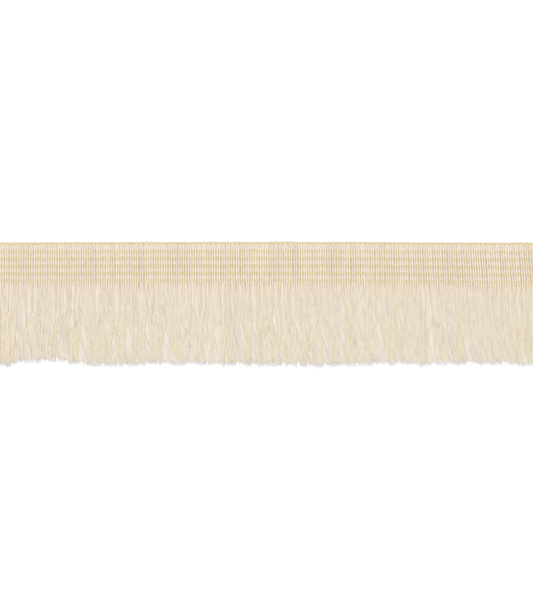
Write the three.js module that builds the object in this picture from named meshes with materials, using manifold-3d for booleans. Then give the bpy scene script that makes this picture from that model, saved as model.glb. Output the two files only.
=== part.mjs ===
// A cut length of cream fringe trim, lying flat with its face up.
//
// The heading is a narrow knitted tape: yarns are laid side by side across it, one for each course,
// and six rows of chain stitch hold them. Below the heading the same yarns hang free and are cut
// off as the fringe, which lies on the surface in two layers. The face layer gathers into locks,
// and the layer under it leans to one side.
//
// Millimetres. +X runs along the trim, +Y to the heading's top edge and +Z up from the surface.
// The origin is the middle of the heading's flat back.
import * as THREE from "three";
import { mergeVertices } from "three/addons/utils/BufferGeometryUtils.js";
import Module from "manifold-3d";

const wasm = await Module();
wasm.setup();

// Driving dimensions
const TRIM_LENGTH = 180;
const TRIM_DROP = 38.1;
const HEADING_DEPTH = 12.7;
const COURSE = 0.75;
const CHAIN_ROWS = 6;
const CHAIN_PITCH = 2.31;
const TOP_CHAIN_INSET = 0.44;
const PIECE_GAP = 0.3;

// The laid-in yarns of the heading stand up as ribs from a closed ground. They turn back at the
// top edge in pairs, and the edge dips between one turn and the next.
const RIB_TOP = 1.2;
const RIB_FOOT = 0.85;
const TURN_PITCH = 2 * COURSE;
const TURN_DIP = 0.25;

// Chain stitch rows, as flat-bottomed bars on the ribs
const CHAIN_FOOT_WIDTH = 0.9;
const CHAIN_CREST_WIDTH = 0.45;
const CHAIN_THICKNESS = 0.4;
const CHAIN_STEP = 4;

// The strip that carries the fringe's roots, and the strands on it
const ROOT_STRIP_DEPTH = 1;
const ROOT_STRIP_THICKNESS = 1.2;
const ROOT_STRIP_STEP = 6;
const ROOT_HOLD = 0.5;
const STRAND_STEPS = 3;
const STRAND_WIDTH = 1.1;
const STRAND_TIP_WIDTH = 0.75;
const STRAND_THICKNESS = 0.45;
const FACE_LAYER_ROOT = 0.74;
const FACE_LAYER_TIP = 0.56;

// How far the layer under the face leans to the right at its tips, and over what length of trim
// that lean swells and shrinks
const UNDER_LEAN = 4.4;
const UNDER_LEAN_SWELL = 1.5;
const UNDER_LEAN_WAVE = 64;
const END_RELIEF = 18;

const headingTop = HEADING_DEPTH / 2;
const headingFoot = -HEADING_DEPTH / 2;
const stripTop = headingFoot - PIECE_GAP;
const stripFoot = stripTop - ROOT_STRIP_DEPTH;
const tipLine = headingTop - TRIM_DROP;
const halfLength = TRIM_LENGTH / 2;
const courses = Math.round(TRIM_LENGTH / COURSE);

// The tape doesn't lie quite straight. Each row is a place along it, with how far its top edge and
// its lower edge have dropped there.
const SAG = [
  { x: -90, top: 0.2, foot: 0.1 },
  { x: -25, top: 0.05, foot: 0 },
  { x: 0, top: 0, foot: 0 },
  { x: 26, top: 0.04, foot: 0.06 },
  { x: 51, top: 0.2, foot: 0.43 },
  { x: 64, top: 0.24, foot: 0.56 },
  { x: 90, top: 0.3, foot: 0.58 },
];

// The locks of the face layer: the middle of each at its root, the share by which its strands draw
// together at the tips, how far the tips lean to the right, and how much longer they are cut.
const LOCKS = [
  { x: -86.9, pull: 0.24, lean: -0.4, longer: 0.2 },
  { x: -80.6, pull: 0.34, lean: -0.7, longer: 0.1 },
  { x: -74.4, pull: 0.2, lean: -1.5, longer: -0.8 },
  { x: -70.0, pull: 0.26, lean: -1.9, longer: -0.9 },
  { x: -65.3, pull: 0.28, lean: -1.6, longer: -1.0 },
  { x: -60.3, pull: 0.4, lean: -0.3, longer: -0.3 },
  { x: -53.8, pull: 0.28, lean: 0.3, longer: 0.4 },
  { x: -49.7, pull: 0.24, lean: 0.1, longer: 0.3 },
  { x: -45.1, pull: 0.3, lean: -0.6, longer: 0.1 },
  { x: -39.8, pull: 0.24, lean: -0.7, longer: 0.3 },
  { x: -34.5, pull: 0.36, lean: 0.2, longer: -0.2 },
  { x: -27.9, pull: 0.36, lean: -0.1, longer: 0 },
  { x: -23.9, pull: 0.2, lean: -0.9, longer: -0.2 },
  { x: -18.9, pull: 0.22, lean: -1.1, longer: -0.1 },
  { x: -11.7, pull: 0.26, lean: 0, longer: 0.2 },
  { x: -6.1, pull: 0.34, lean: 0.5, longer: 0.1 },
  { x: -2.0, pull: 0.24, lean: 0.8, longer: 0.4 },
  { x: 2.0, pull: 0.3, lean: 0.4, longer: 0.4 },
  { x: 7.3, pull: 0.24, lean: 0.4, longer: 0.3 },
  { x: 11.7, pull: 0.38, lean: 0, longer: 0.4 },
  { x: 16.1, pull: 0.28, lean: 0.1, longer: 0.6 },
  { x: 20.7, pull: 0.26, lean: 0.5, longer: 0.3 },
  { x: 26.7, pull: 0.36, lean: 0.1, longer: 0.3 },
  { x: 31.0, pull: 0.24, lean: 0.1, longer: 0.1 },
  { x: 39.1, pull: 0.34, lean: 0.7, longer: -0.1 },
  { x: 42.9, pull: 0.26, lean: 0.8, longer: -0.2 },
  { x: 47.9, pull: 0.24, lean: 1.1, longer: 0.3 },
  { x: 53.2, pull: 0.28, lean: 1.4, longer: 0.1 },
  { x: 60.0, pull: 0.34, lean: 1.0, longer: 0 },
  { x: 65.0, pull: 0.26, lean: 1.8, longer: -0.2 },
  { x: 69.7, pull: 0.24, lean: 1.7, longer: 0.2 },
  { x: 75.3, pull: 0.26, lean: 1.5, longer: -0.5 },
  { x: 79.7, pull: 0.34, lean: 1.0, longer: 0.2 },
  { x: 86.8, pull: 0.24, lean: 0.3, longer: 0.1 },
];

const CREAM_YARN = { color: 0xe9dcc8, roughness: 0.75, metalness: 0 };
const HEADING_YARN = { color: 0xe6d7bf, roughness: 0.8, metalness: 0 };
const GOLD_THREAD = { color: 0xe0cba3, roughness: 0.7, metalness: 0 };

// A column of the sag table at x, easing from each row to the next
function sagAt(x, column) {
  const last = SAG.length - 1;
  const next = Math.min(last, Math.max(1, SAG.findIndex((row) => row.x >= x)));
  const before = SAG[next - 1];
  const after = SAG[next];
  const share = THREE.MathUtils.smoothstep(x, before.x, after.x);
  return THREE.MathUtils.lerp(before[column], after[column], share);
}

// A height across the tape, with the drop of the tape at that place taken off
function sagged(x, y) {
  const down = (headingTop - y) / HEADING_DEPTH;
  const share = Math.min(1, down);
  return y - THREE.MathUtils.lerp(sagAt(x, "top"), sagAt(x, "foot"), share);
}

// A closed surface through like sections, each a list of points in the same turning order
function loft(sections) {
  const sides = sections[0].length;
  const positions = sections.flat().flatMap((point) => point.toArray());
  const triangles = [];
  for (let s = 0; s + 1 < sections.length; s++) {
    for (let k = 0; k < sides; k++) {
      const a = s * sides + k;
      const b = s * sides + ((k + 1) % sides);
      triangles.push(a, b, b + sides, a, b + sides, a + sides);
    }
  }
  const lastSection = (sections.length - 1) * sides;
  for (let k = 1; k + 1 < sides; k++) {
    triangles.push(0, k + 1, k);
    triangles.push(lastSection, lastSection + k, lastSection + k + 1);
  }
  const geometry = new THREE.BufferGeometry();
  geometry.setAttribute("position", new THREE.Float32BufferAttribute(positions, 3));
  geometry.setIndex(triangles);
  return geometry;
}

// Sections that stand across the trim at each of the places, from corners given as [y, z]
function alongTrim(places, cornersAt) {
  return loft(
    places.map((x, i) => cornersAt(x, i).map(([y, z]) => new THREE.Vector3(x, y, z))),
  );
}

// Evenly spaced places from one end of the trim to the other, about step apart
function placesAlong(step) {
  const count = Math.round(TRIM_LENGTH / step);
  return Array.from({ length: count + 1 }, (_, i) => -halfLength + (i * TRIM_LENGTH) / count);
}

// The heading: a flat-backed tape whose face rises to one rib over each laid-in yarn
function headingTape() {
  return alongTrim(placesAlong(COURSE / 2), (x, i) => {
    const face = i % 2 === 1 ? RIB_TOP : RIB_FOOT;
    const dip = (TURN_DIP * (1 - Math.cos((2 * Math.PI * x) / TURN_PITCH))) / 2;
    const top = sagged(x, headingTop) - dip;
    const foot = sagged(x, headingFoot);
    return [[foot, 0], [top, 0], [top, face], [foot, face]];
  });
}

// One row of chain stitch, which lies on the ribs and follows the tape's sag
function chainRow(row) {
  const middle = headingTop - TOP_CHAIN_INSET - row * CHAIN_PITCH;
  const under = RIB_TOP + PIECE_GAP;
  const crest = under + CHAIN_THICKNESS;
  return alongTrim(placesAlong(CHAIN_STEP), (x) => {
    const y = sagged(x, middle);
    return [
      [y - CHAIN_FOOT_WIDTH / 2, under],
      [y + CHAIN_FOOT_WIDTH / 2, under],
      [y + CHAIN_CREST_WIDTH / 2, crest],
      [y - CHAIN_CREST_WIDTH / 2, crest],
    ];
  });
}

// The strip below the heading that all strands are rooted in
function rootStrip() {
  return alongTrim(placesAlong(ROOT_STRIP_STEP), (x) => {
    const top = sagged(x, stripTop);
    const foot = sagged(x, stripFoot);
    return [
      [foot, 0],
      [top, 0],
      [top, ROOT_STRIP_THICKNESS],
      [foot, ROOT_STRIP_THICKNESS],
    ];
  });
}

// The lock whose stretch of root holds x
function lockAt(x) {
  const reach = (lock) => Math.abs(lock.x - x);
  return LOCKS.reduce((best, lock) => (reach(lock) < reach(best) ? lock : best));
}

// How far a strand's tip stands to the right of its root, and how much longer it is cut
function faceTip(x) {
  const lock = lockAt(x);
  return { aside: lock.lean + (lock.x - x) * lock.pull, longer: lock.longer };
}

function underTip(x) {
  const swell = UNDER_LEAN_SWELL * Math.sin((2 * Math.PI * x) / UNDER_LEAN_WAVE);
  const relief = Math.min(1, (halfLength - x) / END_RELIEF);
  return { aside: (UNDER_LEAN + swell) * relief, longer: lockAt(x).longer - 0.2 };
}

// One strand: a flat-bottomed ridge from inside the root strip to its tip. It leaves the strip
// straight down, and turns aside more and more towards the tip.
function strand(x, tip, rootHeight, tipHeight) {
  const rootY = sagged(x, stripFoot) + ROOT_HOLD;
  const tipY = tipLine - tip.longer;
  const sections = [];
  for (let step = 0; step <= STRAND_STEPS; step++) {
    const share = step / STRAND_STEPS;
    const half = THREE.MathUtils.lerp(STRAND_WIDTH, STRAND_TIP_WIDTH, share * share) / 2;
    const middle = x + tip.aside * Math.pow(share, 1.5);
    const y = THREE.MathUtils.lerp(rootY, tipY, share);
    const z = THREE.MathUtils.lerp(rootHeight, tipHeight, share);
    sections.push([
      new THREE.Vector3(middle - half, y, z),
      new THREE.Vector3(middle + half, y, z),
      new THREE.Vector3(middle, y, z + STRAND_THICKNESS),
    ]);
  }
  return loft(sections);
}

function solidOf(geometry) {
  const merged = mergeVertices(geometry, 1e-4);
  return new wasm.Manifold(
    new wasm.Mesh({
      numProp: 3,
      vertProperties: merged.attributes.position.array,
      triVerts: new Uint32Array(merged.index.array),
    }),
  );
}

function geometryOf(solid) {
  const mesh = solid.getMesh();
  const geometry = new THREE.BufferGeometry();
  geometry.setAttribute("position", new THREE.BufferAttribute(mesh.vertProperties, 3));
  geometry.setIndex(new THREE.BufferAttribute(mesh.triVerts, 1));
  return geometry;
}

// The fringe: one strand for each course, by turns in the layer on the surface and in the face
// layer over it, all fused into the root strip
function fringe() {
  let whole = solidOf(rootStrip());
  for (let course = 0; course < courses; course++) {
    const x = -halfLength + (course + 0.5) * COURSE;
    const shape =
      course % 2 === 0
        ? strand(x, underTip(x), 0, 0)
        : strand(x, faceTip(x), FACE_LAYER_ROOT, FACE_LAYER_TIP);
    whole = whole.add(solidOf(shape));
  }
  return geometryOf(whole);
}

function piece(name, geometry, finish) {
  const mesh = new THREE.Mesh(geometry, new THREE.MeshStandardMaterial(finish));
  mesh.name = name;
  return mesh;
}

const trim = new THREE.Group();
trim.add(piece("heading", headingTape(), HEADING_YARN));
for (let row = 0; row < CHAIN_ROWS; row++) {
  trim.add(piece(`chain_row_${row + 1}`, chainRow(row), GOLD_THREAD));
}
trim.add(piece("fringe", fringe(), CREAM_YARN));

export default trim;
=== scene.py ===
import bpy
import numpy as np
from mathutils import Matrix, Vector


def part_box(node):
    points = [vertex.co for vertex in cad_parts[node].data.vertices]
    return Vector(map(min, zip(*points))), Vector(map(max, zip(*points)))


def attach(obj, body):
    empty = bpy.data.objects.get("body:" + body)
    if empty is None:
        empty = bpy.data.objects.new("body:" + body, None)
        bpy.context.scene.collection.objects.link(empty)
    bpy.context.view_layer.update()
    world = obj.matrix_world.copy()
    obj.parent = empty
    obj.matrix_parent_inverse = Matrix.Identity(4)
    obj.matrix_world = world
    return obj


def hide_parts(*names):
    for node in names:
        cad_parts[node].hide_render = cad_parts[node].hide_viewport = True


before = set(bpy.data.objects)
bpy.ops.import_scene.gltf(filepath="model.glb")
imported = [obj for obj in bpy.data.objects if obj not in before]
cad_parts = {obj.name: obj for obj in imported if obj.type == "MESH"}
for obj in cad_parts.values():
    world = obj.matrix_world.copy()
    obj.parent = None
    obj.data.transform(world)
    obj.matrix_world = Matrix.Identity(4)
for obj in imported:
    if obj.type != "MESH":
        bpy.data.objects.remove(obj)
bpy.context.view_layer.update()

# The trim lies face up on a pale table, under a broad soft light that hangs almost overhead, a
# little to the left and to the fringe's side. The camera looks straight down from half a metre up.
MM = 0.001
TRIM_DROP = 38.1 * MM
HEADING_DEPTH = 12.7 * MM
TOP_EDGE = HEADING_DEPTH / 2
FACE_HEIGHT = 1.2 * MM

# In pixels: the photograph's height, the trim's drop, and how far down its top edge stands.
PHOTO_HEIGHT_PX = 596
TRIM_DROP_PX = 122.2
TOP_EDGE_PX = 241.6
pixel = TRIM_DROP / TRIM_DROP_PX

camera_data = bpy.data.cameras.new("camera")
camera_data.lens = 100
camera_data.sensor_width = 36
camera = bpy.data.objects.new("camera", camera_data)
bpy.context.scene.collection.objects.link(camera)
camera_height = pixel * PHOTO_HEIGHT_PX * camera_data.lens / camera_data.sensor_width
middle_y = TOP_EDGE - (PHOTO_HEIGHT_PX / 2 - TOP_EDGE_PX) * pixel
camera.location = (0, middle_y, FACE_HEIGHT + camera_height)
bpy.context.scene.camera = camera

key_data = bpy.data.lights.new("soft_key", "AREA")
key_data.shape = "DISK"
key_data.size = 0.6
key_data.energy = 8.5
key_data.color = (1.0, 0.985, 0.96)
key = bpy.data.objects.new("soft_key", key_data)
key.location = (-0.06, -0.08, 0.98)
key.rotation_mode = "QUATERNION"
key.rotation_quaternion = key.location.to_track_quat("Z", "Y")
bpy.context.scene.collection.objects.link(key)

world = bpy.data.worlds.new("pale_room")
world.use_nodes = True
room_light = world.node_tree.nodes["Background"]
room_light.inputs["Color"].default_value = (0.93, 0.95, 1.0, 1)
room_light.inputs["Strength"].default_value = 0.42
bpy.context.scene.world = world
bpy.context.scene.view_settings.view_transform = "Standard"

TABLE_REACH = 4.0
table_mesh = bpy.data.meshes.new("table_top")
table_corners = np.array([[-1, -1, 0], [1, -1, 0], [1, 1, 0], [-1, 1, 0]]) * TABLE_REACH
table_mesh.from_pydata(table_corners.tolist(), [], [[0, 1, 2, 3]])
table = bpy.data.objects.new("table_top", table_mesh)
bpy.context.scene.collection.objects.link(table)
table_paint = bpy.data.materials.new("table_paint")
table_paint.use_nodes = True
table_shader = table_paint.node_tree.nodes["Principled BSDF"]
table_shader.inputs["Base Color"].default_value = (0.95, 0.95, 0.96, 1)
table_shader.inputs["Roughness"].default_value = 0.9
table_mesh.materials.append(table_paint)

# The heading's yarns: two ends of soft plied cream yarn are laid across the tape together at each
# course, one over the other. They turn back at the top edge, so each length is laid twice, and at
# the foot they leave the heading as fringe. This is the upper end, the one that shows.
COURSES = 240
HALF_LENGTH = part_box("heading")[1].x
COURSE = 2 * HALF_LENGTH / COURSES
CHAIN_ROWS = 6
CHAIN_PITCH = 2.31 * MM
TOP_CHAIN_INSET = 0.44 * MM
row_y = TOP_EDGE - TOP_CHAIN_INSET - CHAIN_PITCH * np.arange(CHAIN_ROWS)
row_gaps = (row_y[:-1] + row_y[1:]) / 2
heading_foot = -HEADING_DEPTH / 2
rng = np.random.default_rng(11)

# The tape doesn't lie quite straight: how far its two edges have dropped, and how far the yarns
# slant to the right by the heading's foot, at places along it.
sag_places = np.array([-90, -25, 0, 26, 51, 64, 90]) * MM
top_drop = np.array([0.2, 0.05, 0, 0.04, 0.2, 0.24, 0.3]) * MM
foot_drop = np.array([0.1, 0, 0, 0.06, 0.43, 0.56, 0.58]) * MM
slant_places = np.array([-90, 0, 23, 42, 54, 67, 90]) * MM
foot_slant = np.array([0, 0.06, 0.14, 0.28, 0.5, 0.68, 0.8]) * MM


def eased(x, places, values):
    """The table's value at x: between two places it goes from one value to the next by a smooth step."""
    after = np.clip(np.searchsorted(places, x), 1, len(places) - 1)
    share = np.clip((x - places[after - 1]) / (places[after] - places[after - 1]), 0, 1)
    share = share * share * (3 - 2 * share)
    return values[after - 1] + (values[after] - values[after - 1]) * share


def down_the_tape(y):
    """0 at the heading's top edge and 1 at its foot and below."""
    return np.clip((TOP_EDGE - y) / HEADING_DEPTH, 0, 1)


def slanted(x, y):
    """x moved to the right by the tape's slant, which grows from the second chain row to the foot."""
    share = np.clip((row_y[1] - y) / (row_y[1] - heading_foot), 0, 1)
    return x + eased(x, slant_places, foot_slant) * share


def sagged(x, y):
    """y less the tape's drop at x, which goes evenly from its top edge's to its foot's."""
    down = down_the_tape(y)
    return y - eased(x, sag_places, top_drop) * (1 - down) - eased(x, sag_places, foot_drop) * down


def between_knots(knots, places, y):
    """Each yarn's own value at y: its row of knots stands at the falling places, eased between."""
    after = np.clip(np.searchsorted(-places, -y), 1, len(places) - 1)
    share = np.clip((places[after - 1] - y) / (places[after - 1] - places[after]), 0, 1)
    share = share * share * (3 - 2 * share)
    return knots[:, after - 1] * (1 - share) + knots[:, after] * share


def carried(paths, outline, half_width, half_depth, turn=0.0):
    """Rings of points along each path. A ring is the outline, turned by an angle, made as wide as
    half_width and as deep as half_depth, and set square to the path with its depth nearest to up."""
    along = np.gradient(paths, axis=1)
    along /= np.linalg.norm(along, axis=2, keepdims=True)
    side = np.cross(along, [0.0, 0.0, 1.0])
    side /= np.linalg.norm(side, axis=2, keepdims=True)
    up = np.cross(side, along)
    turn = np.broadcast_to(turn, paths.shape[:2])[:, :, None]
    across = outline[:, 0] * np.cos(turn) - outline[:, 1] * np.sin(turn)
    above = outline[:, 0] * np.sin(turn) + outline[:, 1] * np.cos(turn)
    across = across * np.broadcast_to(half_width, paths.shape[:2])[:, :, None]
    above = above * np.broadcast_to(half_depth, paths.shape[:2])[:, :, None]
    return (
        paths[:, :, None]
        + across[..., None] * side[:, :, None]
        + above[..., None] * up[:, :, None]
    )


def distance_along(paths):
    """Distance from a path's start to each of its points."""
    steps = np.linalg.norm(np.diff(paths, axis=1), axis=2)
    return np.concatenate([np.zeros((len(paths), 1)), np.cumsum(steps, axis=1)], axis=1)


def yarn_parts(rings, lengths, tones, warmth):
    """Points, faces, UVs and shades of closed tubes. Neighbouring rings are joined by squares and the
    end rings are closed. U goes once round the yarn, and V is the distance along it in millimetres,
    counted from a random place in the first 80, so that no two yarns' markings line up.
    Tones and warmth have one value for each yarn, or one for each ring."""
    yarns, steps, sides = rings.shape[:3]
    number = np.arange(yarns * steps * sides).reshape(yarns, steps, sides)
    following = np.roll(number, -1, axis=2)
    squares = np.stack(
        [number[:, :-1], number[:, 1:], following[:, 1:], following[:, :-1]], axis=-1
    )
    u = (np.arange(sides)[:, None] + [0, 0, 1, 1]) / sides
    lengths = lengths + rng.uniform(0, 80, (yarns, 1)) * MM
    v = lengths / MM
    v = np.stack([v[:, :-1], v[:, 1:], v[:, 1:], v[:, :-1]], axis=-1)[:, :, None]
    u, v = np.broadcast_to(u, squares.shape), np.broadcast_to(v, squares.shape)
    ends = np.concatenate([number[:, 0], number[:, -1, ::-1]])
    end_v = np.concatenate([lengths[:, 0], lengths[:, -1]]) / MM
    end_v = np.repeat(end_v[:, None], sides, axis=1)
    return {
        "points": rings.reshape(-1, 3),
        "squares": squares.reshape(-1, 4),
        "square_uvs": np.stack([u, v], axis=-1).reshape(-1, 2),
        "ends": ends,
        "end_uvs": np.stack([np.full(ends.shape, 0.5), end_v], axis=-1).reshape(-1, 2),
        "tone": np.broadcast_to(tones[..., None], number.shape).ravel(),
        "warmth": np.broadcast_to(warmth[..., None], number.shape).ravel(),
    }


def yarn_piece(name, parts, material):
    """One smooth mesh object of all the tubes in parts, riding on the trim, with the UV map yarn_uv
    and the attributes tone, each yarn's own shade, and warmth, 0 for cool and 1 for warm."""
    starts = np.cumsum([0] + [len(part["points"]) for part in parts[:-1]])
    squares = np.concatenate([part["squares"] + n for part, n in zip(parts, starts)])
    ends = [(part["ends"] + n).tolist() for part, n in zip(parts, starts)]
    mesh = bpy.data.meshes.new(name)
    points = np.concatenate([part["points"] for part in parts])
    mesh.from_pydata(points.tolist(), [], squares.tolist() + sum(ends, []))
    uvs = [part["square_uvs"] for part in parts] + [part["end_uvs"] for part in parts]
    mesh.uv_layers.new(name="yarn_uv").data.foreach_set("uv", np.concatenate(uvs).ravel())
    for shade in ("tone", "warmth"):
        values = np.concatenate([part[shade] for part in parts])
        mesh.attributes.new(shade, "FLOAT", "POINT").data.foreach_set("value", values)
    mesh.shade_smooth()
    mesh.materials.append(material)
    piece = bpy.data.objects.new(name, mesh)
    bpy.context.scene.collection.objects.link(piece)
    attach(piece, "root")
    return piece


def wired(tree, kind, at, **settings):
    """A new node of that kind in the tree, with its place on the sheet and its settings."""
    made = tree.nodes.new(kind)
    made.location = at
    for name, value in settings.items():
        setattr(made, name, value)
    return made


def plied_yarn_group():
    """Node group: masks of a two-ply yarn, read from yarn_uv. Furrow is 1 between the plies and 0 on
    their crests, Fibres is the fine lines of the fibres, and Mottle is slow change along the yarn."""
    group = bpy.data.node_groups.new("plied_yarn", "ShaderNodeTree")
    sockets = group.interface
    sockets.new_socket("Turns Per Millimetre", in_out="INPUT", socket_type="NodeSocketFloat")
    sockets.new_socket("Fibre Scale", in_out="INPUT", socket_type="NodeSocketFloat")
    for name in ("Furrow", "Fibres", "Mottle"):
        sockets.new_socket(name, in_out="OUTPUT", socket_type="NodeSocketFloat")
    link = group.links.new
    given = wired(group, "NodeGroupInput", (-900, 0))
    put_out = wired(group, "NodeGroupOutput", (700, 0))
    uv = wired(group, "ShaderNodeUVMap", (-900, 300), uv_map="yarn_uv")
    split = wired(group, "ShaderNodeSeparateXYZ", (-700, 300))
    link(uv.outputs[0], split.inputs[0])

    # Furrow: a wave with one crest for each ply, carried round by the turns.
    turned = wired(group, "ShaderNodeMath", (-500, 300), operation="MULTIPLY")
    link(split.outputs["Y"], turned.inputs[0])
    link(given.outputs["Turns Per Millimetre"], turned.inputs[1])
    round_it = wired(group, "ShaderNodeMath", (-300, 300), operation="SUBTRACT")
    link(split.outputs["X"], round_it.inputs[0])
    link(turned.outputs[0], round_it.inputs[1])
    angle = wired(group, "ShaderNodeMath", (-100, 300), operation="MULTIPLY")
    angle.inputs[1].default_value = 4 * np.pi
    link(round_it.outputs[0], angle.inputs[0])
    wave = wired(group, "ShaderNodeMath", (100, 300), operation="COSINE")
    link(angle.outputs[0], wave.inputs[0])
    furrow = wired(group, "ShaderNodeMapRange", (300, 300))
    furrow.inputs["From Min"].default_value = 0.35
    furrow.inputs["From Max"].default_value = -1.0
    link(wave.outputs[0], furrow.inputs["Value"])
    link(furrow.outputs["Result"], put_out.inputs["Furrow"])

    # Fibres: noise on a cylinder, so that it closes round the yarn, and drawn out along it.
    full_turn = wired(group, "ShaderNodeMath", (-500, 0), operation="MULTIPLY")
    full_turn.inputs[1].default_value = 2 * np.pi
    link(round_it.outputs[0], full_turn.inputs[0])
    cosine = wired(group, "ShaderNodeMath", (-300, 60), operation="COSINE")
    sine = wired(group, "ShaderNodeMath", (-300, -100), operation="SINE")
    link(full_turn.outputs[0], cosine.inputs[0])
    link(full_turn.outputs[0], sine.inputs[0])
    slow = wired(group, "ShaderNodeMath", (-300, -260), operation="MULTIPLY")
    slow.inputs[1].default_value = 0.12
    link(split.outputs["Y"], slow.inputs[0])
    around = wired(group, "ShaderNodeCombineXYZ", (-100, 0))
    link(cosine.outputs[0], around.inputs["X"])
    link(sine.outputs[0], around.inputs["Y"])
    link(slow.outputs[0], around.inputs["Z"])
    fibres = wired(group, "ShaderNodeTexNoise", (100, 0))
    fibres.inputs["Detail"].default_value = 3
    link(around.outputs[0], fibres.inputs["Vector"])
    link(given.outputs["Fibre Scale"], fibres.inputs["Scale"])
    link(fibres.outputs["Fac"], put_out.inputs["Fibres"])

    # Mottle: noise along the yarn alone.
    mottle = wired(group, "ShaderNodeTexNoise", (100, -300), noise_dimensions="1D")
    mottle.inputs["Scale"].default_value = 0.35
    mottle.inputs["Detail"].default_value = 4
    link(split.outputs["Y"], mottle.inputs["W"])
    link(mottle.outputs["Fac"], put_out.inputs["Mottle"])
    return group


plied_yarn = plied_yarn_group()


def yarn_material(name, cool, warm, furrow_shade, turns_per_mm, sheen, roughness):
    """Yarn finish: a colour between cool and warm by the yarn's warmth, darkened by a painted shade in
    the furrows between the plies, shaded by the yarn's tone, a slow mottle and the fibres, which also
    stand in relief."""
    material = bpy.data.materials.new(name)
    material.use_nodes = True
    tree = material.node_tree
    link = tree.links.new
    shader = tree.nodes["Principled BSDF"]
    yarn = wired(tree, "ShaderNodeGroup", (-1100, 0), node_tree=plied_yarn)
    yarn.inputs["Turns Per Millimetre"].default_value = turns_per_mm
    yarn.inputs["Fibre Scale"].default_value = 5.0

    warmth = wired(tree, "ShaderNodeAttribute", (-1100, 500), attribute_name="warmth")
    cream = wired(tree, "ShaderNodeMix", (-850, 450), data_type="RGBA")
    cream.inputs["A"].default_value = (*cool, 1)
    cream.inputs["B"].default_value = (*warm, 1)
    link(warmth.outputs["Fac"], cream.inputs["Factor"])
    # Painted shade: the furrows between the plies are darkened by the furrow colour.
    between = wired(tree, "ShaderNodeMix", (-850, 200), data_type="RGBA")
    between.inputs["A"].default_value = (1, 1, 1, 1)
    between.inputs["B"].default_value = (*furrow_shade, 1)
    link(yarn.outputs["Furrow"], between.inputs["Factor"])
    plies = wired(tree, "ShaderNodeVectorMath", (-600, 350), operation="MULTIPLY")
    link(cream.outputs["Result"], plies.inputs[0])
    link(between.outputs["Result"], plies.inputs[1])

    tone = wired(tree, "ShaderNodeAttribute", (-850, 0), attribute_name="tone")
    mottle = wired(tree, "ShaderNodeMapRange", (-850, -200))
    mottle.inputs["From Min"].default_value = 0.3
    mottle.inputs["From Max"].default_value = 0.7
    mottle.inputs["To Min"].default_value = 0.96
    mottle.inputs["To Max"].default_value = 1.02
    link(yarn.outputs["Mottle"], mottle.inputs["Value"])
    streaks = wired(tree, "ShaderNodeMapRange", (-850, -450))
    streaks.inputs["From Min"].default_value = 0.3
    streaks.inputs["From Max"].default_value = 0.7
    streaks.inputs["To Min"].default_value = 0.94
    streaks.inputs["To Max"].default_value = 1.02
    link(yarn.outputs["Fibres"], streaks.inputs["Value"])
    shade = wired(tree, "ShaderNodeMath", (-600, -100), operation="MULTIPLY")
    link(tone.outputs["Fac"], shade.inputs[0])
    link(mottle.outputs["Result"], shade.inputs[1])
    streaked = wired(tree, "ShaderNodeMath", (-420, -180), operation="MULTIPLY")
    link(shade.outputs[0], streaked.inputs[0])
    link(streaks.outputs["Result"], streaked.inputs[1])
    dyed = wired(tree, "ShaderNodeVectorMath", (-220, 160), operation="SCALE")
    link(plies.outputs[0], dyed.inputs[0])
    link(streaked.outputs[0], dyed.inputs["Scale"])
    link(dyed.outputs[0], shader.inputs["Base Color"])

    relief = wired(tree, "ShaderNodeBump", (-220, -300))
    relief.inputs["Strength"].default_value = 0.5
    relief.inputs["Distance"].default_value = 0.03 * MM
    link(yarn.outputs["Fibres"], relief.inputs["Height"])
    link(relief.outputs[0], shader.inputs["Normal"])
    shader.inputs["Roughness"].default_value = roughness
    shader.inputs["Diffuse Roughness"].default_value = 1.0
    shader.inputs["Sheen Weight"].default_value = sheen
    shader.inputs["Sheen Roughness"].default_value = 0.4
    shader.inputs["Specular IOR Level"].default_value = 0.3
    return material


COOL_CREAM = (0.885, 0.85, 0.80)
WARM_CREAM = (0.9, 0.82, 0.66)
# The third colour is a painted shade, laid in the furrows between the plies.
CREAM_FURROW_SHADE = (0.96, 0.92, 0.85)
cream_laid = yarn_material(
    "cream_laid_yarn", COOL_CREAM, WARM_CREAM, CREAM_FURROW_SHADE, turns_per_mm=0, sheen=0.3, roughness=0.7
)

# Section of a two-ply yarn: a hexagon drawn out along one line through its middle, which turns as
# it goes along the yarn.
PLY_LAY = 2.0 * MM
ply_corners = np.arange(6) * np.pi / 3
two_ply = np.stack([1.12 * np.cos(ply_corners), 0.9 * np.sin(ply_corners)], axis=1)

LAID_HALF_WIDTH = 0.255 * MM
LAID_HALF_DEPTH = 0.23 * MM
UPPER_END_HEIGHT = 0.9 * MM
LEG_STEPS = 40
TURN_STEPS = 7
TURN_INSET = 0.06 * MM
LEG_OVERRUN = 0.05 * MM
turn_top = TOP_EDGE - LAID_HALF_WIDTH - TURN_INSET
turn_start = turn_top - COURSE / 2
leg_foot = heading_foot - LEG_OVERRUN

# How far each yarn strays aside, in all and at each chain row and gap. The yarns of a pair, which
# are joined by their turn, are drawn towards each other.
PAIR_DRAW = 0.02 * MM
course_x = -HALF_LENGTH + (np.arange(COURSES) + 0.5) * COURSE
pair_side = np.where(np.arange(COURSES) % 2 == 1, 1, -1)
knot_y = np.sort(np.concatenate([row_y, row_gaps, [leg_foot]]))[::-1]
at_row = np.isin(knot_y, row_y)
stray = rng.normal(0, 1, (COURSES, len(knot_y))) * np.where(at_row, 0.016, 0.034) * MM
stray += rng.normal(0, 0.018, (COURSES, 1)) * MM + pair_side[:, None] * PAIR_DRAW

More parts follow.
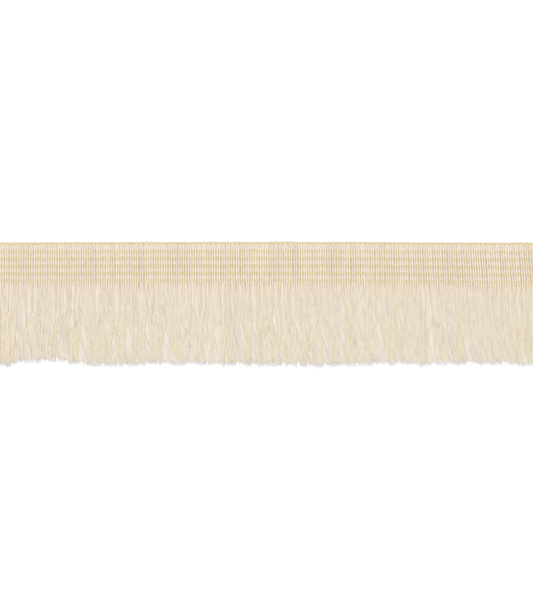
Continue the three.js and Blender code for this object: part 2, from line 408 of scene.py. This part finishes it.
# How full the yarns stand at the top row, in the first, second and fourth gaps and at the foot, and
# the shares by which they are made narrower and flatter at a chain row and narrower just below it.
fullness_y = np.array([row_y[0], row_gaps[0], row_gaps[1], row_gaps[3], leg_foot])
fullness = np.array([1.15, 1.32, 1.04, 0.99, 1.0])
ROW_SPREAD = 0.34 * MM
ROW_SINK = 0.04 * MM
ROW_NARROWER = 0.03
ROW_FLATTER = 0.12
DRAWN_BELOW = 0.45 * MM
DRAWN_SPREAD = 0.6 * MM
DRAWN_NARROWER = 0.19
row_draw = np.array([1.0, 1.0, 1.0, 1.0, 0.5])


def pressed(y):
    """1 under the middle of a chain row, falling by a bell curve to about a third at ROW_SPREAD."""
    away = np.abs(np.asarray(y)[:, None] - row_y).min(axis=1)
    return np.exp(-((away / ROW_SPREAD) ** 2))


def drawn_in(y):
    """How strongly the loops draw the yarns in: a bell curve that stands just below each chain row
    but the top one, half as strong below the last."""
    below = (row_y[1:, None] - np.asarray(y) - DRAWN_BELOW) / DRAWN_SPREAD
    return (np.exp(-(below**2)) * row_draw[:, None]).max(axis=0)


def in_top_gap(y, spread):
    """1 in the middle of the gap below the top chain row, falling by a bell curve to a third at spread."""
    return np.exp(-(((y - row_gaps[0]) / spread) ** 2))


def full_width(y):
    """A laid-in yarn's width against its usual one: full in the top gap, and drawn in at each chain
    row and most of all just below it."""
    narrower = 1 - ROW_NARROWER * pressed(y) - DRAWN_NARROWER * drawn_in(y)
    return np.interp(-y, -fullness_y, fullness) * narrower


def laid_x(x, strays, y):
    """Where each yarn stands at height y: on its course, slanted with the tape and strayed."""
    return slanted(x[:, None], y[None, :]) + between_knots(strays, knot_y, y)


def laid_lengths(x, strays, height, steps):
    """Paths of the yarn, a little sunk at each chain row: up one course, round half a circle at the
    top edge, and down the next. With them, how far up the tape their points stand before it sags."""
    leg_y = np.linspace(leg_foot, turn_start, steps)
    up_x = laid_x(x[0::2], strays[0::2], leg_y)
    down_x = laid_x(x[1::2], strays[1::2], leg_y)
    half_turn = np.linspace(0, np.pi, TURN_STEPS + 2)[1:-1]
    middle = (up_x[:, -1:] + down_x[:, -1:]) / 2
    reach = (down_x[:, -1:] - up_x[:, -1:]) / 2
    turn_x = middle - reach * np.cos(half_turn)
    turn_y = np.broadcast_to(turn_start + (turn_top - turn_start) * np.sin(half_turn), turn_x.shape)
    leg_rows = np.broadcast_to(leg_y, up_x.shape)
    path_x = np.concatenate([up_x, turn_x, down_x[:, ::-1]], axis=1)
    path_y = np.concatenate([leg_rows, turn_y, leg_rows[:, ::-1]], axis=1)
    path_z = np.broadcast_to(height - ROW_SINK * pressed(path_y[0]), path_x.shape)
    return np.stack([path_x, sagged(path_x, path_y), path_z], axis=2), path_y[0]


def laid_shades(y, yarns):
    """Tones and warmth of laid-in yarns. Each yarn has a tone of its own, 9% darker in the top gap.
    The warmth falls from the top chain row to the second and stays low below it."""
    warm = np.interp(-y, [-row_y[0], -row_gaps[0], -row_y[1], -row_y[2]], [0.6, 0.45, 0.12, 0.12])
    tones = rng.normal(1.0, 0.02, (yarns, 1)) * (1 - 0.09 * in_top_gap(y, 0.9 * MM))
    return tones, np.broadcast_to(warm, (yarns, len(y)))


# The yarns turn back between the courses of a pair, so a pair starts with the second course, and
# the first and last courses of the cut length are single lengths with a cut end at the top.
laid_paths, laid_y = laid_lengths(course_x[1:-1], stray[1:-1], UPPER_END_HEIGHT, LEG_STEPS)
laid_distance = distance_along(laid_paths)
laid_turn = 2 * np.pi * laid_distance / PLY_LAY + rng.uniform(0, np.pi, (len(laid_paths), 1))
laid_width = LAID_HALF_WIDTH * full_width(laid_y) * rng.normal(1, 0.03, (len(laid_paths), 1))
laid_depth = LAID_HALF_DEPTH * (1 - ROW_FLATTER * pressed(laid_y))
laid_rings = carried(laid_paths, two_ply, laid_width, laid_depth, laid_turn)

single_y = np.linspace(leg_foot, turn_top, LEG_STEPS)
single_x = laid_x(course_x[[0, -1]], stray[[0, -1]], single_y)
single_rows = np.broadcast_to(single_y, single_x.shape)
single_paths = np.stack(
    [single_x, sagged(single_x, single_rows), np.full(single_x.shape, UPPER_END_HEIGHT)], axis=2
)
single_distance = distance_along(single_paths)
single_turn = 2 * np.pi * single_distance / PLY_LAY
single_width = LAID_HALF_WIDTH * full_width(single_y)
single_rings = carried(single_paths, two_ply, single_width, LAID_HALF_DEPTH, single_turn)
laid_yarns = yarn_piece(
    "laid_in_yarns",
    [
        yarn_parts(laid_rings, laid_distance, *laid_shades(laid_y, len(laid_rings))),
        yarn_parts(single_rings, single_distance, *laid_shades(single_y, 2)),
    ],
    cream_laid,
)
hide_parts("heading")

# The lower end of each laid-in pair runs under the upper one, in the gap beside it, so that it
# fills the gap and shows there and from behind. In the top gap, where the upper ends stand full,
# it rides a little higher.
# The golden colour is a painted shade for the deep gaps between the yarns, in the heading and at the top
# of the fringe.
GOLDEN_GAP_SHADE = (0.77, 0.605, 0.32)
cream_laid_lower = yarn_material(
    "cream_yarn_lower",
    COOL_CREAM,
    GOLDEN_GAP_SHADE,
    CREAM_FURROW_SHADE,
    turns_per_mm=0.5,
    sheen=0.2,
    roughness=0.7,
)
LOWER_END_HEIGHT = 0.55 * MM
LOWER_STEPS = 18
TOP_GAP_RISE = 0.12 * MM
TOP_GAP_SPREAD = 1.0 * MM
round_ring = np.arange(5) * 2 * np.pi / 5
round_five = np.stack([np.cos(round_ring), np.sin(round_ring)], axis=1)
lower_paths, lower_y = laid_lengths(
    course_x[:-2] + COURSE / 2, stray[:-2] / 2, LOWER_END_HEIGHT, LOWER_STEPS
)
lower_paths[..., 2] += TOP_GAP_RISE * in_top_gap(lower_y, TOP_GAP_SPREAD)
lower_distance = distance_along(lower_paths)
lower_rings = carried(
    lower_paths, round_five, LAID_HALF_WIDTH * full_width(lower_y), 1.05 * LAID_HALF_DEPTH
)
lower_tones = rng.normal(0.93, 0.035, (len(lower_rings), 1))
lower_tones = lower_tones * (1 - 0.06 * in_top_gap(lower_y, TOP_GAP_SPREAD))
# Painted shade: the lower ends are half golden everywhere and fully golden just below each chain row,
# where the yarns are drawn in and the gaps are deepest.
lower_gap_shade = 0.5 + 0.5 * drawn_in(lower_y)[None]
lower_yarns = yarn_piece(
    "laid_in_yarns_lower",
    [yarn_parts(lower_rings, lower_distance, lower_tones, lower_gap_shade)],
    cream_laid_lower,
)

# Six rows of chain stitch in fine gold thread hold the laid-in yarns. Each stitch is a loop that
# comes up in the gap between two yarns, passes over one of them and is caught by the next loop.
# The thread then passes under the yarn to the next gap.
THREAD_RADIUS = 0.078 * MM
LOOP_STEPS = 10
UNDER_STEPS = 3
LOOP_REACH = 0.64
LOOP_HALF_HEIGHT = 0.2 * MM
LOOP_BASE_HEIGHT = 0.86 * MM
LOOP_CREST = 1.07 * MM
LOOP_HEAD_HEIGHT = 1.0 * MM
UNDER_HEIGHT = 0.12 * MM
ROW_WOBBLE = 0.05 * MM
ROW_WOBBLE_LENGTH = 23 * MM
TOP_LOOP_DROP = 0.06 * MM
TOP_LOOP_SWING = 0.18 * MM
SHADED_BELOW_CREST = 0.4 * MM

# The thread's warm colour, darker than its cool one, serves as painted shade where it lies low, and its
# furrow colour is a painted shade between its plies.
gold_thread = yarn_material(
    "gold_chain_thread",
    cool=(0.81, 0.71, 0.445),
    warm=(0.74, 0.62, 0.33),
    furrow_shade=(0.93, 0.87, 0.78),
    turns_per_mm=1.6,
    sheen=0.15,
    roughness=0.5,
)


def stitch_paths(row):
    """Path of a whole row's thread. Along a loop the thread goes round an ellipse on the yarn, lower
    at its base and tucked in at its head, and then straight under the yarn to the next base. The top
    row lies a little nearer the foot. It rises in the middle of each pair of yarns and dips between
    the pairs, by an amount that is drawn at random."""
    loop = np.arange(LOOP_STEPS) / LOOP_STEPS
    round_loop = 2 * np.pi * loop
    under = (np.arange(UNDER_STEPS) + 0.5) / UNDER_STEPS
    along = np.concatenate([-0.5 + LOOP_REACH * (1 - np.cos(round_loop)), under - 0.5])
    aside = np.concatenate([np.sin(round_loop), np.zeros(UNDER_STEPS)])
    over = np.abs(np.sin(round_loop)) ** 0.6
    head = np.sin(np.pi * loop) ** 6 * (1 - over)
    up = LOOP_BASE_HEIGHT + (LOOP_CREST - LOOP_BASE_HEIGHT) * over
    up += (LOOP_HEAD_HEIGHT - LOOP_BASE_HEIGHT) * head
    up = np.concatenate([up, np.full(UNDER_STEPS, UNDER_HEIGHT)])
    here = row_y[row]
    middle = slanted(course_x, np.full(COURSES, here)) + stray[:, np.argmax(knot_y == here)]
    size = 1 + rng.normal(0, 0.07, (COURSES, 1))
    x = middle[:, None] + along * COURSE
    wobble = ROW_WOBBLE * np.sin(2 * np.pi * (x / ROW_WOBBLE_LENGTH + 0.37 * row))
    y = here + wobble + aside * LOOP_HALF_HEIGHT * size + rng.normal(0, 0.02, (COURSES, 1)) * MM
    if row == 0:
        swing = TOP_LOOP_SWING * np.repeat(rng.uniform(0, 2, COURSES // 2), 2)[:, None]
        y = y - TOP_LOOP_DROP + swing * np.cos(2 * np.pi * x / (2 * COURSE))
    return np.stack([x, sagged(x, y), np.broadcast_to(up, x.shape)], axis=2)


def carried_round(path, outline, radius):
    """Rings along a thread that turns every way. In each stitch the ring's own up is only leant over
    from step to step, never spun, and what it is then out by at the next stitch is shared out."""
    along = np.gradient(path, axis=0)
    along /= np.linalg.norm(along, axis=1, keepdims=True)
    steps = LOOP_STEPS + UNDER_STEPS
    along = along.reshape(-1, steps, 3)
    after = np.concatenate([along[1:, :1], along[-1:, :1]])
    along = np.concatenate([along, after], axis=1)
    up = np.empty_like(along)
    start = np.cross(along[:, 0], [0.3, 0.9, 0.3])
    up[:, 0] = start / np.linalg.norm(start, axis=1, keepdims=True)
    for step in range(1, steps + 1):
        leant = up[:, step - 1]
        leant = leant - (leant * along[:, step]).sum(axis=1, keepdims=True) * along[:, step]
        up[:, step] = leant / np.linalg.norm(leant, axis=1, keepdims=True)
    wanted = np.concatenate([up[1:, 0], up[-1:, 0]])
    square_to = np.cross(along[:, -1], up[:, -1])
    out_by = np.arctan2((wanted * square_to).sum(axis=1), (wanted * up[:, -1]).sum(axis=1))
    spin = (out_by[:, None] * np.arange(steps) / steps)[..., None]
    along, up = along[:, :-1], up[:, :-1]
    side = np.cross(along, up)
    up, side = up * np.cos(spin) + side * np.sin(spin), side * np.cos(spin) - up * np.sin(spin)
    up, side = up.reshape(-1, 3), side.reshape(-1, 3)
    across = outline[:, :1, None] * side[None]
    above = outline[:, 1:, None] * up[None]
    return (path[None] + radius * (across + above)).transpose(1, 0, 2)[None]


# The thread's colour is warmer and darker the further it lies below the loops' crests, a painted shade
# # where it lies low among and under the yarns, and warm all over in the top row.
for row in range(CHAIN_ROWS):
    thread = stitch_paths(row).reshape(-1, 3)
    thread_rings = carried_round(thread, round_five, THREAD_RADIUS)
    stitch_tones = np.repeat(rng.normal(1, 0.03, COURSES), LOOP_STEPS + UNDER_STEPS)[None]
    thread_warmth_and_shade = np.clip((LOOP_CREST - thread[:, 2]) / SHADED_BELOW_CREST, 0, 1)[None]
    if row == 0:
        thread_warmth_and_shade = 0.9 + 0.1 * thread_warmth_and_shade
    chain = yarn_piece(
        f"chain_stitch_{row + 1}",
        [yarn_parts(thread_rings, distance_along(thread[None]), stitch_tones, thread_warmth_and_shade)],
        gold_thread,
    )
    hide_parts(f"chain_row_{row + 1}")

# The fringe's face layer: the upper ends hang free below the heading, 25 mm long, and are cut off
# together. They lie on the lower ends, flatten where they lie, and gather into loose locks.
COOL_FRINGE = (0.815, 0.752, 0.69)
WARM_FRINGE = (0.80, 0.722, 0.557)
# The third colour is a painted shade, laid in the furrows between the plies.
FRINGE_FURROW_SHADE = (0.925, 0.91, 0.885)
cream_fringe = yarn_material(
    "cream_fringe_yarn",
    COOL_FRINGE,
    WARM_FRINGE,
    FRINGE_FURROW_SHADE,
    turns_per_mm=0,
    sheen=0.3,
    roughness=0.75,
)

# Each lock: the middle of its roots along the trim, how strongly its strands draw together by the
# tips, how far its tips lean to the right, and how much longer it is cut, in millimetres.
locks = np.array(
    [
        (-86.9, 0.46, -0.4, 0.2),
        (-80.6, 0.65, -0.7, 0.1),
        (-74.4, 0.38, -1.5, -0.8),
        (-70.0, 0.49, -1.9, -0.9),
        (-65.3, 0.53, -1.6, -1.0),
        (-60.3, 0.76, -0.3, -0.3),
        (-53.8, 0.53, 0.3, 0.4),
        (-49.7, 0.46, 0.1, 0.3),
        (-45.1, 0.57, -0.6, 0.1),
        (-39.8, 0.46, -0.7, 0.3),
        (-34.5, 0.68, 0.2, -0.2),
        (-27.9, 0.68, -0.1, 0.0),
        (-23.9, 0.38, -0.9, -0.2),
        (-18.9, 0.42, -1.1, -0.1),
        (-11.7, 0.49, 0.0, 0.2),
        (-6.1, 0.65, 0.5, 0.1),
        (-2.0, 0.46, 0.8, 0.4),
        (2.0, 0.57, 0.4, 0.4),
        (7.3, 0.46, 0.4, 0.3),
        (11.7, 0.72, 0.0, 0.4),
        (16.1, 0.53, 0.1, 0.6),
        (20.7, 0.49, 0.5, 0.3),
        (26.7, 0.68, 0.1, 0.3),
        (31.0, 0.46, 0.1, 0.1),
        (39.1, 0.65, 0.7, -0.1),
        (42.9, 0.49, 0.8, -0.2),
        (47.9, 0.46, 1.1, 0.3),
        (53.2, 0.53, 1.4, 0.1),
        (60.0, 0.65, 1.0, 0.0),
        (65.0, 0.49, 1.8, -0.2),
        (69.7, 0.46, 1.7, 0.2),
        (75.3, 0.49, 1.5, -0.5),
        (79.7, 0.65, 1.0, 0.2),
        (86.8, 0.46, 0.3, 0.1),
    ],
    dtype=[("x", float), ("pull", float), ("lean", float), ("longer", float)],
)
TIP_LINE = TOP_EDGE - TRIM_DROP
STRAND_ROOT = heading_foot + 0.2 * MM
FACE_STEPS = 80
STRAND_HALF_WIDTH = 0.34 * MM
STRAND_HALF_DEPTH = 0.13 * MM
FACE_LIE = 0.76 * MM
LEVEL_STEP = 0.04 * MM
LOCK_GATHER = 0.7
PAIR_TIPS = 0.1 * MM
PAIR_TOGETHER = 0.11 * MM

root_x = laid_x(course_x, stray, np.array([leg_foot]))[:, 0]
lock_of = np.abs(root_x[:, None] / MM - locks["x"]).argmin(axis=1)
own = locks[lock_of]


def cut_tips(x):
    """Height on the table at which strands whose tips lie at x end. The line they are cut on is eased
    from lock to lock, and they end a little short of it, each by its own amount."""
    line = TIP_LINE - eased(x / MM, locks["x"], locks["longer"]) * MM
    return line + rng.normal(0.3, 0.22, COURSES) * MM


def drift(x, fall, phase):
    """How far the strands of one stretch are carried aside together: three slow waves, each running
    along the trim and down it at its own pace."""
    waves = [(0.28, 9.0, 21.0, 0.1), (0.13, 5.3, 14.0, 0.45), (0.06, 3.1, 9.0, 0.8)]
    return sum(
        size * MM * np.sin(2 * np.pi * (x / (along * MM) + fall / (down * MM) + start + phase))
        for size, along, down, start in waves
    )


def hanging(
    roots, aside, tips, start_height, lie_heights, steps, stray_size, drift_size, phase, together=0.0
):
    """Strand paths. From its root a strand falls evenly to its tip and goes aside by the 1.5th power
    of how far down it is. It comes loose over about 2 mm, and is then carried off that line by two
    small waves of its own and by the drift of its stretch, which takes 12 mm to grow full. Over a few
    millimetres each strand of a pair moves by together towards the other, and sooner still it settles
    to the height at which it lies. Over its last 5 mm it sinks to a third of that height."""
    down = np.linspace(0, 1, steps)[None]
    root_y = sagged(roots, np.full(COURSES, STRAND_ROOT))
    fall = (root_y - tips)[:, None] * down
    loose = 1 - np.exp(-((fall / (1.4 * MM)) ** 1.5))
    slow_size, quick_size = rng.normal(0, 1, (2, COURSES, 1)) * stray_size * [[[1.0]], [[0.5]]]
    slow_pace, quick_pace = rng.uniform(0.4, 1.1, (COURSES, 1)), rng.uniform(1.6, 3.2, (COURSES, 1))
    slow_start, quick_start = rng.uniform(0, 1, (2, COURSES, 1))
    wander = slow_size * np.sin(2 * np.pi * (slow_pace * down + slow_start))
    wander += quick_size * np.sin(2 * np.pi * (quick_pace * down + quick_start))
    wander += drift_size * drift(roots[:, None], fall, phase) * np.clip(fall / (12 * MM), 0, 1)
    wander *= loose
    wander += together * pair_side[:, None] * (1 - np.exp(-fall / (4 * MM)))
    x = roots[:, None] + aside[:, None] * down**1.5 + wander
    settle = 1 - np.exp(-fall / (1.3 * MM))
    z = start_height + (lie_heights[:, None] - start_height) * settle
    z *= 1 - 0.68 * np.clip((fall - (root_y - tips)[:, None]) / (5 * MM) + 1, 0, 1) ** 2
    return np.stack([x, root_y[:, None] - fall, z], axis=2)


def strand_sizes(distance, start_width, start_depth, width, depth, opening):
    """Half width and half depth along a strand. They go from those in the heading to the flattened
    strand's, two thirds of the way over the opening, and over the last 1.6 mm thin out to 0.3."""
    opened = 1 - np.exp(-distance / opening)
    left = np.clip((distance[:, -1:] - distance) / (1.6 * MM), 0, 1)
    tip = 0.3 + 0.7 * left**0.7
    return (
        (start_width + (width - start_width) * opened) * tip,
        (start_depth + (depth - start_depth) * opened) * tip,
    )


def tip_shade(distance):
    """Tone along a strand: 1, falling by 6% over its last millimetres."""
    left = distance[:, -1:] - distance
    return 1 - 0.06 * np.exp(-left / (2 * MM))


face_aside = own["lean"] * MM + (own["x"] * MM - root_x) * own["pull"] * LOCK_GATHER
face_aside += rng.normal(0, 0.25, COURSES) * MM + pair_side * PAIR_TIPS
face_tips = cut_tips(root_x + face_aside)
face_lie = FACE_LIE + rng.integers(0, 3, COURSES) * LEVEL_STEP
face_paths = hanging(
    root_x,
    face_aside,
    face_tips,
    start_height=UPPER_END_HEIGHT,
    lie_heights=face_lie,
    steps=FACE_STEPS,
    stray_size=0.22 * MM,
    drift_size=1.0,
    phase=0.0,
    together=PAIR_TOGETHER,
)
face_distance = distance_along(face_paths)
face_lay = PLY_LAY * rng.normal(1.1, 0.08, (COURSES, 1))
face_turn = 2 * np.pi * face_distance / face_lay + rng.uniform(0, np.pi, (COURSES, 1))
face_sizes = strand_sizes(
    face_distance,
    0.96 * LAID_HALF_WIDTH,
    0.96 * LAID_HALF_DEPTH,
    STRAND_HALF_WIDTH * rng.normal(1, 0.1, (COURSES, 1)),
    STRAND_HALF_DEPTH,
    opening=7.0 * MM,
)
face_rings = carried(face_paths, two_ply, *face_sizes, face_turn)

# A strand's tone differs from its two neighbours', most of all 5 mm down. All are lighter and
# cooler where they leave the heading, and further down the tighter locks are the warmer ones.
face_shades = rng.normal(0, 1, COURSES)
face_shades -= (np.roll(face_shades, 1) + np.roll(face_shades, -1)) / 2
shade_size = 0.008 + 0.02 * np.exp(-(((face_distance - 5 * MM) / (6 * MM)) ** 2))
face_tones = 1 + face_shades[:, None] * shade_size
face_tones *= 1 + 0.08 * np.exp(-face_distance / (2.5 * MM))
face_tones *= tip_shade(face_distance)
face_warmth = 0.6 - 0.45 * np.exp(-face_distance / (3 * MM))
face_warmth += (own["pull"][:, None] - 0.35) * 1.3 * np.linspace(0, 1, FACE_STEPS)
face_warmth = np.clip(face_warmth + rng.normal(0, 0.11, (COURSES, 1)), 0, 1)
face_parts = [face_rings, face_distance, face_tones, face_warmth]
half = COURSES // 2
for name, part in (("left", slice(0, half)), ("right", slice(half, COURSES))):
    strands = yarn_piece(
        f"fringe_face_{name}",
        [yarn_parts(*(values[part] for values in face_parts))],
        cream_fringe,
    )
    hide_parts("fringe")

# The fringe's two lower layers: the lower ends, which part into two below the heading. One lies
# under the face layer and the other close to the table. Both lean to the right, the middle one
# most, and more so in some stretches than in others. Near the trim's cut ends the lean dies away.
UNDER_LEAN = 7.0 * MM
UNDER_LEAN_SWELL = 1.5 * MM
UNDER_LEAN_WAVE = 64 * MM
TABLE_LEAN_SHARE = 0.8
END_RELIEF = 24 * MM
under_lean = UNDER_LEAN + UNDER_LEAN_SWELL * np.sin(2 * np.pi * root_x / UNDER_LEAN_WAVE)
under_lean *= np.minimum(1, (HALF_LENGTH - np.abs(root_x)) / END_RELIEF)
lower_layers = {
    "fringe_middle": {
        "roots": root_x + COURSE / 2 - stray[:, -1] / 2,
        "aside": under_lean + rng.normal(0, 0.12, COURSES) * MM,
        "start_height": LOWER_END_HEIGHT,
        "lie_heights": 0.62 * MM + rng.integers(0, 2, COURSES) * 0.05 * MM,
        "steps": 48,
        "stray_size": 0.07 * MM,
        "drift_size": 0.6,
        "phase": 0.3,
    },
    "fringe_table": {
        "roots": root_x,
        "aside": TABLE_LEAN_SHARE * under_lean + rng.normal(0, 0.1, COURSES) * MM,
        "start_height": 0.4 * MM,
        "lie_heights": 0.5 * MM + rng.integers(0, 2, COURSES) * 0.04 * MM,
        "steps": 36,
        "stray_size": 0.07 * MM,
        "drift_size": 0.4,
        "phase": 0.6,
    },
}
half_sizes = {"fringe_middle": (0.37 * MM, 0.12 * MM), "fringe_table": (0.58 * MM, 0.28 * MM)}
COOL_FRINGE_LOWER = (0.79, 0.736, 0.662)
LOWER_FURROW_SHADE = (0.84, 0.80, 0.77)
cream_fringe_lower = yarn_material(
    "cream_fringe_lower",
    COOL_FRINGE_LOWER,
    GOLDEN_GAP_SHADE,
    LOWER_FURROW_SHADE,
    turns_per_mm=0,
    sheen=0.3,
    roughness=0.75,
)

# This five-sided ring starts at the strand's crest, so that the two furrows, with their painted shade, run
# along its sides as dark lines between the strands.
ridged_five = np.stack([-np.sin(round_ring), np.cos(round_ring)], axis=1)
lower_fringe = {}
for name, layer in lower_layers.items():
    paths = hanging(tips=cut_tips(layer["roots"] + layer["aside"]), **layer)
    distance = distance_along(paths)
    sizes = strand_sizes(
        distance, 0.9 * LAID_HALF_WIDTH, 0.9 * LAID_HALF_DEPTH, *half_sizes[name], opening=1.5 * MM
    )
    rings = carried(paths, ridged_five, *sizes)
    tones = rng.normal(0.97, 0.04, (COURSES, 1)) * tip_shade(distance)
    # Near the heading the lower strands are painted golden: a painted shade in the gaps between the face
    # strands.
    warmth = 0.85 * np.exp(-distance / (2.5 * MM)) + rng.normal(0, 0.08, (COURSES, 1))
    strands = yarn_piece(
        name,
        [yarn_parts(rings, distance, tones, np.clip(warmth, 0, 1))],
        cream_fringe_lower,
    )
    lower_fringe[name] = paths

# The cut tips are frayed: the strands of the face and middle layers open into a few of their own
# fibres, which spread and curl. They are so fine that they look paler than the yarn.
TIP_FIBRES = 9
FRAY_RINGS = 4
FRAY_START = 0.5 * MM
FRAY_CLEARANCE = 0.05 * MM
PALE_FIBRE = (0.86, 0.875, 0.915)
cream_fibres = yarn_material(
    "cream_fibres",
    PALE_FIBRE,
    COOL_FRINGE,
    CREAM_FURROW_SHADE,
    turns_per_mm=0,
    sheen=0.3,
    roughness=0.8,
)
three_sided = np.arange(3) * 2 * np.pi / 3
thin_outline = np.stack([np.cos(three_sided), np.sin(three_sided)], axis=1)


def fibre_paths(starts, headings, bends, lengths, rings):
    """Fibre paths: from its start a fibre goes off along its heading and is bent aside by the square
    of how far along it is."""
    share = np.linspace(0, 1, rings)[None, :, None]
    reach = lengths[:, None, None]
    return starts[:, None] + reach * (headings[:, None] * share + bends[:, None] * share**2)


def fibre_piece(name, paths, radius, warmth, material):
    """One piece of three-sided fibres along the paths, all of one warmth."""
    plain = np.ones((len(paths), 1))
    rings = carried(paths, thin_outline, radius, radius)
    parts = yarn_parts(rings, distance_along(paths), plain, warmth * plain)
    return yarn_piece(name, [parts], material)


frayed_strands = [face_paths, lower_fringe["fringe_middle"]]
strand_ends = np.concatenate([paths[:, -1] for paths in frayed_strands])
strand_ways = np.concatenate([paths[:, -1] - paths[:, -3] for paths in frayed_strands])
strand_ways /= np.linalg.norm(strand_ways, axis=1, keepdims=True)
fray_ends = np.repeat(strand_ends, TIP_FIBRES, axis=0)
fray_ways = np.repeat(strand_ways, TIP_FIBRES, axis=0)
frays = len(fray_ends)
fray_starts = fray_ends - FRAY_START * fray_ways + rng.normal(0, 1, (frays, 3)) * [0.1, 0, 0.05] * MM
fray_paths = fibre_paths(
    fray_starts,
    fray_ways + rng.normal(0, 1, (frays, 3)) * [0.28, 0.1, 0.06],
    rng.normal(0, 1, (frays, 3)) * [0.3, 0.15, 0.05],
    rng.uniform(0.9, 2.5, frays) * MM,
    FRAY_RINGS,
)
fray_paths[..., 2] = np.maximum(fray_paths[..., 2], FRAY_CLEARANCE)
fray_radius = np.linspace(0.034, 0.01, FRAY_RINGS)[None] * MM * rng.uniform(0.7, 1.2, (frays, 1))
fibre_piece("frayed_tips", fray_paths, fray_radius, 0.0, cream_fibres)

# Loose fibres stand off the yarns all over the fringe as a thin down. They are the ends of fibres
# that the yarn's twist doesn't hold, and they point mostly towards the tips.
LOOSE_FIBRES = 1800
which = rng.integers(0, COURSES, LOOSE_FIBRES)
step = rng.integers(4, FACE_STEPS - 6, LOOSE_FIBRES)
loose_starts = face_paths[which, step] + rng.normal(0, 1, (LOOSE_FIBRES, 3)) * [0.15, 0.1, 0] * MM
loose_starts[:, 2] += STRAND_HALF_DEPTH
loose_radius = np.array([0.01, 0.016, 0.016, 0.014, 0.008])[None] * MM
loose_paths = fibre_paths(
    loose_starts,
    [0.0, -1.0, 0.05] + rng.normal(0, 1, (LOOSE_FIBRES, 3)) * [0.25, 0.1, 0.05],
    rng.normal(0, 1, (LOOSE_FIBRES, 3)) * [0.25, 0.1, 0.03],
    rng.uniform(1.2, 3.6, LOOSE_FIBRES) * MM,
    loose_radius.shape[1],
)
fibre_piece("loose_fibres", loose_paths, loose_radius, 0.2, cream_fringe)
